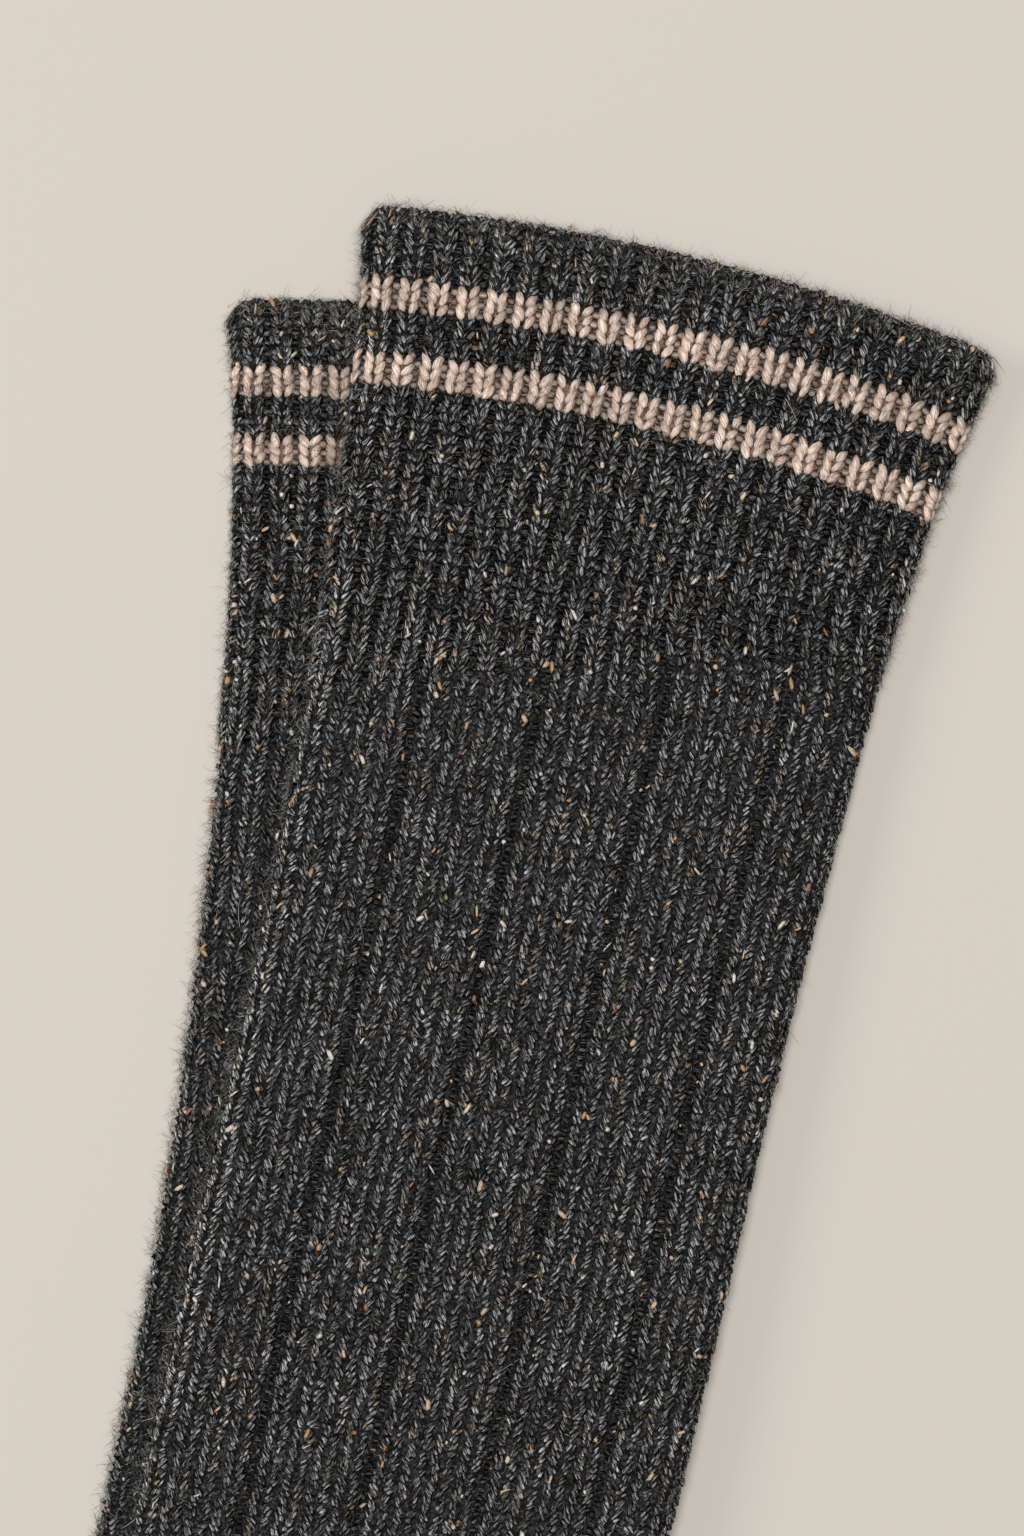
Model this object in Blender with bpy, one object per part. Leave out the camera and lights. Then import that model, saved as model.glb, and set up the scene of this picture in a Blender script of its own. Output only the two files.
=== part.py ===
"""A pair of knee-high wool socks, laid flat on a surface with one sock on the other.

Each sock is one knitted tube: a turned cuff and upper leg in 1x1 rib with two stripes, a leg in wide
ribs, a heel pocket, a foot and a toe closed by a linked seam. Flattened, its two panels lie on each other.

Lengths are in millimetres in the tables and in metres in the meshes. +X is to the right, +Y up the
legs to the cuffs, +Z up from the surface. The origin is the middle of the underside of the pair's box.
"""

from collections import namedtuple

import bmesh
import bpy
import numpy as np

MM = 0.001

# Knitted cloth
WALL = 2.3  # from the crest of a rib to the plain inside
SLIT = 0.6  # room between the two panels of a flattened sock
THICK = 2 * WALL + SLIT
CLEAR = 0.3  # between the two socks
NEEDLES = 90  # stitches in one round of the tube
INSIDE_POINTS = 36

# 1x1 rib of the cuff: a knit column, then a purl column sunk behind it
CUFF_REPEAT = 2
CUFF_KNITS = 1
CUFF_PURL_WIDTH = 0.6  # of an even share of the round
CUFF_DEPTH = 0.85

# Wide rib of the leg: eight knit columns, then a purl column sunk in a groove
LEG_REPEAT = 9
LEG_KNITS = 8
LEG_PURL_WIDTH = 0.63
LEG_DEPTH = 1.2
LEG_FLUTE = 0.18  # every second knit column lies this much lower
LEG_PHASE = 0.9  # needles between the middle of the sock and the middle of a rib
FACE_STRETCH = 0.05  # the leg's upper panel is this much wider than an even share

RIB_CHANGE = (57, 69)  # along the sock, where the cuff's rib becomes the leg's
RIB_CHANGE_SKEW = -0.3  # that row's slope: it is reached sooner towards the front
RIB_END_HEEL = (372, 392)  # along the sock, where the plain heel and sole begin
SOLE_EDGE = (-6, 6)  # across the sock, where the plain sole meets the ribbed instep
RIB_END_TOE = (548, 560)  # along the sock, where the plain toe begins

# Stripes, by the edges of each along the sock
STRIPES = ((10.9, 16.1), (22.5, 27.8))

# Rounded ends
RIM_RADIUS = WALL / 2
RIM_RELIEF = (0.2, 0.6)  # part of the ribs' depth on the rim's roll and half way down it
TOE_RADIUS = 2.2
TOE_CLOSE = 0.04  # of the toe's radius, left flat at its seam
RIM_CORNER = 2.6  # how far the rim drops at its two corners
CORNER_SPAN = 0.07  # part of the half width that a corner takes
CORNER_REACH = 6  # along the sock, how soon the rows below it are level

# Sizes of a sock by its sections: reach to the back (heel side) and to the front (shin side) from
# the middle line, and the rise of a row's middle over its ends
Section = namedtuple("Section", "place along back front rise")
SECTIONS = (
    Section("rim", 0, 50.3, 50.3, 3.8),
    Section("under the stripes", 26, 46.2, 46.2, 3.4),
    Section("end of the cuff's rib", 64, 42.9, 43.3, 2.0),
    Section("calf", 121, 41.0, 41.6, 0.8),
    Section("below the calf", 185, 40.6, 41.1, 0.2),
    Section("lower leg", 265, 39.0, 39.0, 0),
    Section("ankle", 335, 37.0, 37.0, 0),
    Section("top of the heel", 368, 42.0, 34.5, 0),
    Section("heel", 402, 60.0, 31.0, 0),
    Section("under the heel", 436, 46.0, 34.0, 0),
    Section("instep", 466, 38.5, 37.5, 0),
    Section("ball", 534, 39.0, 38.5, 0),
    Section("toe", 566, 36.0, 34.0, 0),
    Section("end of the toe", 584, 27.0, 25.0, 0),
    Section("toe seam", 592, 17.0, 15.0, 0),
)
LENGTH = SECTIONS[-1].along

# How each sock lies: the middle line's heading at places along it, in degrees from straight down
# the picture towards the heel side
Turn = namedtuple("Turn", "along heading")
UPPER_TURNS = (
    Turn(0, 13.6),
    Turn(30, 13.4),
    Turn(64, 12.8),
    Turn(355, 12.6),
    Turn(455, -47.0),
    Turn(592, -47.0),
)
LOWER_TURNS = (
    Turn(0, 8.0),
    Turn(120, 8.3),
    Turn(150, 9.9),
    Turn(180, 12.4),
    Turn(355, 12.6),
    Turn(455, -47.0),
    Turn(592, -47.0),
)

# Each sock's rim, at the middle of its row, from the upper sock's
UPPER_START = (0.0, 0.0)
LOWER_START = (-20.8, -9.8)
LOWER_CUFF_SCALE = 0.93  # its rows are this much shorter over the cuff

# How the upper sock hangs over the edge of the lower one
SAG = 0.72  # part of the drop to the surface that it makes
SAG_REACH = 18  # how far out it makes that drop
FLAT_BELOW = (-0.95, -0.3)  # how far down the lower sock's outside faces where its ribs are pressed flat

# Rows of points along a sock: from one place to the next in even steps
Rows = namedtuple("Rows", "start stop steps")
ROWS = (
    Rows(2.6, 10.9, 1),
    Rows(10.9, 16.1, 1),
    Rows(16.1, 22.5, 1),
    Rows(22.5, 27.8, 1),
    Rows(27.8, 60, 2),
    Rows(60, 72, 2),
    Rows(72, 345, 7),
    Rows(345, 470, 13),
    Rows(470, 548, 2),
    Rows(548, 588, 6),
)
PATH_STEP = 1.0  # between samples of the middle line

YARN = (0.055, 0.056, 0.060, 1)
STRIPE_YARN = (0.62, 0.47, 0.37, 1)
YARN_ROUGHNESS = 0.95


def smooth_step(low, high, value):
    t = np.clip((np.asarray(value, float) - low) / (high - low), 0, 1)
    return t * t * (3 - 2 * t)


def smooth_through(places, values, at):
    """A curve through the table's values, with no overshoot at a turn."""
    places, values, at = (np.asarray(x, float) for x in (places, values, at))
    steps, rises = np.diff(places), np.diff(values)
    slopes = rises / steps
    inner = np.where(
        slopes[1:] * slopes[:-1] > 0,
        2 * slopes[1:] * slopes[:-1] / np.where(slopes[1:] + slopes[:-1] == 0, 1, slopes[1:] + slopes[:-1]),
        0,
    )
    bends = np.concatenate([slopes[:1], inner, slopes[-1:]])
    k = np.clip(np.searchsorted(places, at, side="right") - 1, 0, len(steps) - 1)
    h, t = steps[k], (at - places[k]) / steps[k]
    return (
        values[k] * (1 + 2 * t) * (1 - t) ** 2
        + bends[k] * h * t * (1 - t) ** 2
        + values[k + 1] * t * t * (3 - 2 * t)
        + bends[k + 1] * h * t * t * (t - 1)
    )


def of_section(column, along):
    return smooth_through([s.along for s in SECTIONS], [getattr(s, column) for s in SECTIONS], along)


class Lie:
    """Where a sock lies: its middle line on the surface, and the way across it."""

    def __init__(self, start, turns, cuff_scale=1.0):
        self.cuff_scale = cuff_scale
        self.along = np.arange(0, LENGTH + PATH_STEP, PATH_STEP)
        places, headings = zip(*turns)
        heading = np.radians(smooth_through(places, headings, self.along))
        self.down = np.stack([-np.sin(heading), -np.cos(heading)], 1)
        self.across = np.stack([np.cos(heading), -np.sin(heading)], 1)
        steps = (self.down[1:] + self.down[:-1]) / 2 * PATH_STEP
        self.middle = np.array(start) + np.concatenate([[[0, 0]], np.cumsum(steps, 0)])

    def at(self, along):
        """The middle line's point, the way down the sock and the way across it."""
        return [
            np.stack([np.interp(along, self.along, pair[:, i]) for i in (0, 1)], -1)
            for pair in (self.middle, self.down, self.across)
        ]

    def row(self, along):
        """Where a row of the pattern lies on this sock, which may have shorter rows over its cuff."""
        end = RIB_CHANGE[1]
        over_cuff = np.where(along < end, along, end * (LENGTH - along) / (LENGTH - end))
        return along + (self.cuff_scale - 1) * over_cuff

    def place(self, along, x):
        """The point x to the front of the middle of a row, on the row's arc."""
        middle, down, across = self.at(along)
        return middle + across * np.reshape(x, (-1, 1)) + down * np.reshape(row_drop(along, x), (-1, 1))

    def outside(self, points):
        """How far each point lies outside the flattened sock, or less than 0 inside it."""
        away = points[:, None, :] - self.middle[None, :, :]
        nearest = (away**2).sum(2).argmin(1)
        away = points - self.middle[nearest]
        along = self.along[nearest] + (away * self.down[nearest]).sum(1)
        x = (away * self.across[nearest]).sum(1)
        held = np.clip(along, 0, LENGTH)
        side = np.where(x < 0, -x - of_section("back", held), x - of_section("front", held))
        end = np.maximum(row_drop(held, x) - along, along - LENGTH)
        both = np.hypot(np.maximum(side, 0), np.maximum(end, 0))
        return np.where(both > 0, both, np.maximum(side, end))


def row_drop(along, x):
    """How far along the sock a point of a row lies past the row's middle."""
    back, front, rise = (of_section(c, along) for c in ("back", "front", "rise"))
    share = (x - (front - back) / 2) / ((front + back) / 2)
    corner = np.clip((np.abs(share) - 1 + CORNER_SPAN) / CORNER_SPAN, 0, 1.2) ** 2
    return rise * share**2 + RIM_CORNER * corner * np.exp(-along / CORNER_REACH)


def ring_shape(back, front, low, high, shares):
    """Points of a flattened tube's section, and the way out of it, at shares of its round. The round
    starts at the back fold, goes over the upper panel to the front fold and returns below."""
    radius = (high - low) / 2
    fold, panel = np.pi * radius / 2, back + front - 2 * radius
    away = np.asarray(shares) % 1 * (4 * fold + 2 * panel)
    starts = np.cumsum([0, fold, panel, 2 * fold, panel])
    part = np.searchsorted(starts, away, side="right") - 1
    along = away - starts[part]
    bend, flat = along / radius, np.zeros_like(along)
    up, down = np.pi / 2, -np.pi / 2
    angle = np.choose(part, [np.pi - bend, flat + up, up - bend, flat + down, down - bend])
    left, right = flat + radius - back, flat + front - radius
    foot = np.choose(part, [left, left + along, right, right - along, left])
    out = np.stack([np.cos(angle), np.sin(angle)], 1)
    points = np.stack([foot, np.full_like(foot, low + radius)], 1) + radius * out
    return points, out


def column_widths(repeat, knits, purl_width):
    purl = np.arange(NEEDLES) % repeat >= knits
    knit_width = (repeat - (repeat - knits) * purl_width) / knits
    return np.where(purl, purl_width, knit_width), purl


def knit_round(along):
    """For the needles of one round: the share of the round at the middle of each column, and how
    deep the column lies below the crest of the ribs."""
    # an even round's places across the sock, from the back fold over the upper panel and back below
    to_front = 1 - 2 * np.abs(1 - 2 * np.arange(NEEDLES) / NEEDLES)
    leg_part = smooth_step(*RIB_CHANGE, along - RIB_CHANGE_SKEW * to_front * of_section("front", along))
    cuff_width, cuff_purl = column_widths(CUFF_REPEAT, CUFF_KNITS, CUFF_PURL_WIDTH)
    leg_width, leg_purl = column_widths(LEG_REPEAT, LEG_KNITS, LEG_PURL_WIDTH)
    width = cuff_width * (1 - leg_part) + leg_width * leg_part
    middle = (np.cumsum(width) - width / 2) / width.sum()
    # the middle of a wide rib lies LEG_PHASE needles past the middle of the upper panel, a quarter
    # round from the back fold, and the first needle begins the rib two repeats before that one
    middle = middle + 0.25 + (LEG_PHASE - LEG_KNITS / 2 - 2 * LEG_REPEAT) / NEEDLES
    middle = middle + leg_part * FACE_STRETCH / (2 * np.pi) * np.sin(2 * np.pi * (middle - 0.25))
    flute = (np.arange(NEEDLES) % LEG_REPEAT) % 2 * LEG_FLUTE
    cuff_depth, leg_depth = np.where(cuff_purl, CUFF_DEPTH, 0), np.where(leg_purl, LEG_DEPTH, flute)
    return middle, cuff_depth * (1 - leg_part) + leg_depth * leg_part


def ribbed_part(along, x):
    """1 where the knitting is ribbed, 0 on the plain heel, sole and toe."""
    sole = smooth_step(*RIB_END_HEEL, along) * (1 - smooth_step(*SOLE_EDGE, x))
    return (1 - sole) * (1 - smooth_step(*RIB_END_TOE, along))


def height_at_toe(along):
    """How far the section is drawn in near the toe's closed end."""
    past = np.clip(along - (LENGTH - TOE_RADIUS), 0, TOE_RADIUS)
    return TOE_RADIUS - np.sqrt(TOE_RADIUS**2 - past**2)


class Sock:
    def __init__(self, lie, flat_below, ground):
        self.lie = lie
        self.flat_below = flat_below  # a sock that rests on the surface is plain and flat below
        self.ground = ground  # the height of what lies under each point
        self.points = []

    def ring(self, along, inset, shares, depth=0.0):
        """One row of points: along the sock, inset from the crest of the ribs."""
        inset = inset + height_at_toe(along)
        back, front = of_section("back", along) - inset, of_section("front", along) - inset
        section, out = ring_shape(back, front, inset, THICK - inset, shares)
        depth = depth * ribbed_part(along, section[:, 0])
        if self.flat_below:
            depth = depth * smooth_step(*FLAT_BELOW, out[:, 1])
        section = section - out * np.reshape(depth, (-1, 1))
        plan = self.lie.place(self.lie.row(along), section[:, 0])
        start = len(self.points)
        self.points.extend(np.column_stack([plan, section[:, 1] + self.ground(plan)]))
        return list(range(start, len(self.points)))

    def outer_ring(self, along, inset=0.0, relief=1.0):
        shares, depth = knit_round(along)
        return self.ring(along, inset, shares, depth * relief)

    def inner_ring(self, along, inset=WALL):
        return self.ring(along, inset, np.arange(INSIDE_POINTS) / INSIDE_POINTS)


def rows_along():
    places = [np.linspace(r.start, r.stop, r.steps + 1)[:-1] for r in ROWS]
    return np.concatenate(places)


def between(first, second):
    """Faces between two rings with the same number of points."""
    n = len(first)
    return [(first[i], first[(i + 1) % n], second[(i + 1) % n], second[i]) for i in range(n)]


def between_uneven(first, second, points):
    """Faces between two rings with different numbers of points, always by the shorter diagonal."""
    start = min(range(len(first)), key=lambda i: np.sum((points[first[i]] - points[second[0]]) ** 2))
    first = first[start:] + first[:start]
    faces, i, j = [], 0, 0
    while i < len(first) or j < len(second):
        a, b = first[i % len(first)], second[j % len(second)]
        next_a, next_b = first[(i + 1) % len(first)], second[(j + 1) % len(second)]
        step_a = np.sum((points[next_a] - points[b]) ** 2) if i < len(first) else np.inf
        step_b = np.sum((points[next_b] - points[a]) ** 2) if j < len(second) else np.inf
        if step_a <= step_b:
            faces.append((a, next_a, b))
            i += 1
        else:
            faces.append((a, next_b, b))
            j += 1
    return faces


def across(ring, points):
    """Faces that close a flat ring, from its upper side to its lower one."""
    count, way = len(ring), points_way(ring, points)
    back = min(range(count), key=lambda i: (points[ring[i]] - points[ring[0]])[:2] @ way)
    ring = ring[back:] + ring[:back]
    faces, i, j = [], 0, count - 1
    while j - i > 1:
        faces.append((ring[i], ring[i + 1], ring[j]))
        i += 1
        if j - i > 1:
            faces.append((ring[i], ring[j - 1], ring[j]))
            j -= 1
    return faces


def points_way(ring, points):
    """The direction of a flat ring's longer side on the surface."""
    flat = np.array([points[i][:2] for i in ring])
    spread = flat - flat.mean(0)
    return np.linalg.svd(spread, full_matrices=False)[2][0]


def make_sock(sock):
    """The sock's points and faces, with the faces of the stripes marked."""
    slope = RIM_RADIUS * (1 - np.sqrt(0.5))
    outer = [
        sock.outer_ring(0, RIM_RADIUS, RIM_RELIEF[0]),
        sock.outer_ring(slope, slope, RIM_RELIEF[1]),
        sock.outer_ring(RIM_RADIUS),
    ]
    places = list(rows_along())
    outer += [sock.outer_ring(place) for place in places]
    toe_slope = LENGTH - TOE_RADIUS * (1 - np.sqrt(0.5))
    outer += [sock.outer_ring(LENGTH - TOE_RADIUS), sock.outer_ring(toe_slope)]
    outer.append(sock.outer_ring(LENGTH - TOE_CLOSE * TOE_RADIUS))
    inner = [sock.inner_ring(slope, WALL - slope), sock.inner_ring(RIM_RADIUS)]
    inner += [sock.inner_ring(place) for place in places]

    faces, striped = [], []
    stripe_starts = [start for start, _ in STRIPES]
    for k in range(len(outer) - 1):
        row = between(outer[k], outer[k + 1])
        at = k - 3
        if 0 <= at < len(places) and any(abs(places[at] - start) < 1e-6 for start in stripe_starts):
            striped += range(len(faces), len(faces) + len(row))
        faces += row
    faces += between_uneven(outer[0], inner[0], sock.points)
    for k in range(len(inner) - 1):
        faces += between(inner[k], inner[k + 1])
    faces += across(inner[-1], sock.points) + across(outer[-1], sock.points)
    return faces, striped


def wool(name, colour):
    material = bpy.data.materials.new(name)
    material.use_nodes = True
    shader = material.node_tree.nodes["Principled BSDF"]
    shader.inputs["Base Color"].default_value = colour
    shader.inputs["Roughness"].default_value = YARN_ROUGHNESS
    shader.inputs["Metallic"].default_value = 0
    return material


def put_in_scene(name, points, faces, striped, materials):
    mesh = bpy.data.meshes.new(name)
    mesh.from_pydata([tuple(p * MM) for p in points], [], faces)
    for material in materials:
        mesh.materials.append(material)
    for face in striped:
        mesh.polygons[face].material_index = 1
    shape = bmesh.new()
    shape.from_mesh(mesh)
    bmesh.ops.recalc_face_normals(shape, faces=shape.faces)
    shape.to_mesh(mesh)
    shape.free()
    mesh.shade_smooth()
    sock = bpy.data.objects.new(name, mesh)
    bpy.context.scene.collection.objects.link(sock)
    return sock


def main():
    for thing in list(bpy.data.objects):
        bpy.data.objects.remove(thing, do_unlink=True)
    lower_lie = Lie(LOWER_START, LOWER_TURNS, LOWER_CUFF_SCALE)
    upper_lie = Lie(UPPER_START, UPPER_TURNS)

    def on_surface(plan):
        return np.zeros(len(plan))

    def on_lower_sock(plan):
        return (THICK + CLEAR) * (1 - SAG * smooth_step(-1, SAG_REACH, lower_lie.outside(plan)))

    socks = {
        "lower_sock": Sock(lower_lie, True, on_surface),
        "upper_sock": Sock(upper_lie, False, on_lower_sock),
    }
    shapes = {name: make_sock(sock) for name, sock in socks.items()}
    every = np.concatenate([np.array(sock.points) for sock in socks.values()])
    middle = (every.min(0) + every.max(0)) / 2
    middle[2] = 0
    materials = [wool("charcoal_wool", YARN), wool("stripe_wool", STRIPE_YARN)]
    for name, (faces, striped) in shapes.items():
        put_in_scene(name, np.array(socks[name].points) - middle, faces, striped, materials)


main()
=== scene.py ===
"""The looks of a pair of knee-high wool socks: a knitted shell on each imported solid, with its stitches,
flecks and loose fibres laid over it as joined meshes, on a pale floor in soft studio light.

Lengths are in millimetres and become metres in the meshes. A place on a sock is given by its share of
the round (from the back fold over the upper panel to the front fold and back below), its distance along
the sock from the rim, and its height over the crest of the ribs.
"""

from collections import namedtuple

import bpy
import numpy as np
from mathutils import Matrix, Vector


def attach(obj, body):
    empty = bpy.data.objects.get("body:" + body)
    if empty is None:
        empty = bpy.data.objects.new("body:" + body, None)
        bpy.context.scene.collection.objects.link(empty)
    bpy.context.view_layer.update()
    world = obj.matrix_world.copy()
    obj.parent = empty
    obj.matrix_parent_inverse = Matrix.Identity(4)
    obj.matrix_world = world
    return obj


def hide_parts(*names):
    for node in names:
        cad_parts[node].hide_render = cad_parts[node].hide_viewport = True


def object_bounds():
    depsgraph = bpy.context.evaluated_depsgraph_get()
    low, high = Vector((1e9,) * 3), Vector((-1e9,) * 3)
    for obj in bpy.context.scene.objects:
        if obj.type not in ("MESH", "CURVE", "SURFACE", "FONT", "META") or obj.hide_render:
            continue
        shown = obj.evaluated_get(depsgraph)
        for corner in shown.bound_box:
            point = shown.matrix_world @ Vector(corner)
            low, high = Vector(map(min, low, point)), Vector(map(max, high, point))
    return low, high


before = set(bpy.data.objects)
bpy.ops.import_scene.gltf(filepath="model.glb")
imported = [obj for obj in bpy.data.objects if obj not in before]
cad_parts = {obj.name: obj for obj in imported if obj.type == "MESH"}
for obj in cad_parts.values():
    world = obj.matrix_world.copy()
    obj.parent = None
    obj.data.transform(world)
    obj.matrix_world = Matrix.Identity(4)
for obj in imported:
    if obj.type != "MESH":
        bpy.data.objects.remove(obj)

cad_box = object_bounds()

MM = 0.001

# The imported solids' form, in the same named sizes as their own source
WALL = 2.3  # from the crest of a rib to the plain inside
SLIT = 0.6  # room between the two panels of a flattened sock
THICK = 2 * WALL + SLIT
CLEAR = 0.3  # between the two socks
NEEDLES = 90  # stitches in one round of the tube
CUFF_REPEAT, CUFF_KNITS, CUFF_PURL_WIDTH, CUFF_DEPTH = 2, 1, 0.6, 0.85
LEG_REPEAT, LEG_KNITS, LEG_PURL_WIDTH, LEG_DEPTH = 9, 8, 0.63, 1.2
LEG_PHASE = 0.9  # needles between the middle of the sock and the middle of a rib
UPPER_MIDDLE = 0.25  # share of the round in the middle of the upper panel
RIBS_BEFORE = 2  # ribs of the leg between the first needle and that middle
FACE_STRETCH = 0.05  # the leg's upper panel is this much wider than an even share
RIB_CHANGE = (57, 69)  # along the sock, where the cuff's rib becomes the leg's
RIB_CHANGE_SKEW = -0.3  # that row's slope: it is reached sooner towards the front
RIB_END_HEEL = (372, 392)  # along the sock, where the plain heel and sole begin
SOLE_EDGE = (-6, 6)  # across the sock, where the plain sole meets the ribbed instep
RIB_END_TOE = (548, 560)  # along the sock, where the plain toe begins
FLAT_BELOW = (-0.95, -0.3)  # how far down the lower sock's outside faces where its ribs are pressed flat
RIM_RADIUS = WALL / 2
RIM_RELIEF = 0.2  # part of the ribs' depth that is left on the rim's roll
TOE_RADIUS = 2.2
RIM_CORNER = 2.6  # how far the rim drops at its two corners
CORNER_SPAN = 0.07  # part of the half width that a corner takes
CORNER_END = 1.2  # how far out a corner goes on dropping, of its span
CORNER_REACH = 6  # along the sock, how soon the rows below it are level

# Sizes of a sock by its sections: reach to the back (heel side) and to the front (shin side) from
# the middle line, and the rise of a row's middle over its ends
Section = namedtuple("Section", "place along back front rise")
SECTIONS = (
    Section("rim", 0, 50.3, 50.3, 3.8),
    Section("under the stripes", 26, 46.2, 46.2, 3.4),
    Section("end of the cuff's rib", 64, 42.9, 43.3, 2.0),
    Section("calf", 121, 41.0, 41.6, 0.8),
    Section("below the calf", 185, 40.6, 41.1, 0.2),
    Section("lower leg", 265, 39.0, 39.0, 0),
    Section("ankle", 335, 37.0, 37.0, 0),
    Section("top of the heel", 368, 42.0, 34.5, 0),
    Section("heel", 402, 60.0, 31.0, 0),
    Section("under the heel", 436, 46.0, 34.0, 0),
    Section("instep", 466, 38.5, 37.5, 0),
    Section("ball", 534, 39.0, 38.5, 0),
    Section("toe", 566, 36.0, 34.0, 0),
    Section("end of the toe", 584, 27.0, 25.0, 0),
    Section("toe seam", 592, 17.0, 15.0, 0),
)
LENGTH = SECTIONS[-1].along

# How each sock lies: the middle line's heading at places along it, in degrees from straight down
# the picture towards the heel side
Turn = namedtuple("Turn", "along heading")
FOOT_TURNS = (Turn(355, 12.6), Turn(455, -47.0), Turn(592, -47.0))
UPPER_TURNS = (Turn(0, 13.6), Turn(30, 13.4), Turn(64, 12.8), *FOOT_TURNS)
LOWER_TURNS = (Turn(0, 8.0), Turn(120, 8.3), Turn(150, 9.9), Turn(180, 12.4), *FOOT_TURNS)
UPPER_START = (0.0, 0.0)  # the middle of each sock's rim, from the upper sock's
LOWER_START = (-20.8, -9.8)
LOWER_CUFF_SCALE = 0.93  # its rows are this much shorter over the cuff
SAG = 0.72  # part of the drop to the surface that the upper sock makes over the edge of the lower one
SAG_REACH = (-1, 18)  # how far outside that edge the drop begins and ends

# Knitting
CUFF_ROWS, CUFF_ROW = 38, 1.653  # how many rows the cuff has, and from one to the next
LEG_ROW = 1.265
FIRST_ROW = 0.99  # where the first row below the rim's roll begins
RIM_ROWS = 2  # rows that lie over the rim's roll
Stripe = namedtuple("Stripe", "start end")
STRIPES = (Stripe(10.9, 16.1), Stripe(22.5, 27.8))
STRIPE_ROWS = (6, 7, 8, 13, 14, 15)  # the rows that they take
STRIPE_INSET = (1.2, 0.3)  # how far inside a stripe its colour starts and ends on the wall beneath
COLUMN = 2  # needles to a column of V's: a knit and a purl one in the cuff, two knit ones below it
VALLEY = 0.2  # depth of the narrow valley between two of the leg's columns
VALLEY_REACH = 0.4  # its half width in needles
GROOVE_EDGE = 0.8  # where a column meets a sunk one, of the way from its middle
GROOVE_SLOPE = 0.18  # half the width of the slope there
Wave = namedtuple("Wave", "turn share")
DRIFT = 0.1  # how far a column wanders aside, in waves that turn by radians from one row to the next
DRIFT_WAVES = (Wave(0.42, 1), Wave(1.15, 0.6))
CALF_END, DETAIL_END, ANKLE_END = 145, 222, 410  # the picture shows a sock as far as DETAIL_END
FLOOR_ROOM = 0.02  # nothing lies nearer to the floor than this
SEEN_FACING = -0.4  # stitches that face further down than this are left out, on the underside
COVERED = 3  # and those of the lower sock this far in under the upper one

# An arm of a knit stitch: its side, where its middle is across the column of two needles, its lean
# from the column's line in degrees, its half width and length, and its tone
Arm = namedtuple("Arm", "side middle lean half_width length tone")
# each left arm's tone is above its right one's: partly the yarn's own look, partly painted light from the
# left
STRIPE_ARMS = (Arm(-1, 0.225, 22, 0.76, 3.7, 1.06), Arm(1, 0.225, 26, 0.72, 3.5, 0.98))
CUFF_ARMS = (Arm(-1, 0.225, 27, 0.76, 2.85, 1.06), Arm(1, 0.225, 30, 0.72, 2.75, 0.96))
LEG_ARMS = (Arm(-1, 0.252, 32, 0.74, 2.3, 1.06), Arm(1, 0.252, 35, 0.70, 2.2, 0.95))
USUAL_COLUMN = 4.2  # the width of the column that an arm of this size belongs to
COLUMN_SCALE = (0.7, 1.3)  # the least and the most that it is scaled to another column
ARM_HALF_THICK = 0.46
ARM_RISE = 0.1  # height of an arm's middle
ARM_SINK, ARM_BEND = 0.34, 1.6  # how far its ends go down from there, and how suddenly
ARM_TILT = 0.2  # how far its lower end lies over the middle, and its upper end behind it
ARM_TONES = (0.15, 4)  # the least and the most

# How much arms differ: in their lean in degrees, their length and half width as shares, their place
# aside and along, their height, and their tone as a share, in a stripe and elsewhere
Uneven = namedtuple("Uneven", "lean length half_width aside along height stripe_tone tone")
ARM_UNEVEN = Uneven(8, 0.07, 0.08, 0.07, 0.14, 0.08, 0.07, 0.08)

# An arm's strands
STRAND_TURN = 0.05  # how far a strand crosses its arm by each end, of the arm's half width
STRAND_SPREAD = 0.95  # how far out the outer strands lie, of the arm's half width less their own
STRAND_GATHER = 0.45  # how much nearer they lie by each end, so that an arm is a leaf with two points
STRAND_OVERLAP = 1.25  # how wide a strand is, of its part of the arm
STRAND_DROP = 0.14  # how much lower an arm's outer strands lie
STRAND_CUT = 0.35  # the most that a loose one is cut short
STRAND_CUT_END = 0.8  # how near to one end of its arm it then lies
STRAND_WANDER = 0.06  # how far a loose one strays, up and to its side
STRAND_THIN = 0.25  # how much less thick a loose one is

# How finely arms are made: their strands side by side, sides of a strand, the steps along it with its
# fullness between them, how much the tones of the strands differ, how loosely they lie, and their tone
Detail = namedtuple("Detail", "plies sides steps fullness contrast loose tone")
CLOSE = Detail(2, 4, (-1, -0.45, 0.4, 1), (1.0, 0.9), 0.18, 1.0, 1.0)
PLUMP = Detail(1, 6, (-1, -0.6, -0.1, 0.45, 1), (0.72, 1.0, 0.72), 0.05, 0.3, 1.0)
FAR = Detail(2, 3, (-1, 0, 1), (1.0,), 0.4, 1.0, 1.45)

# A purl stitch's bump: half its length across its column, its radius, the height of its middle and its tone,
# in the leg's sunk columns and in the cuff. Its tone, well below the arms', is painted shade in the sunk
# columns
Bump = namedtuple("Bump", "half_length radius height tone")
LEG_BUMP, CUFF_BUMP = Bump(0.55, 0.55, 0.0, 0.27), Bump(0.6, 0.72, -0.27, 0.33)
BUMP_STEPS = (-1, -0.5, 0.5, 1)
BUMP_FLAT = 0.8  # its thickness, of its width
BUMP_DROP = 0.4  # how far down the sock its middle lies from its row's
BUMP_SINK = 0.3  # how far its ends go down, and how far along the sock
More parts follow.
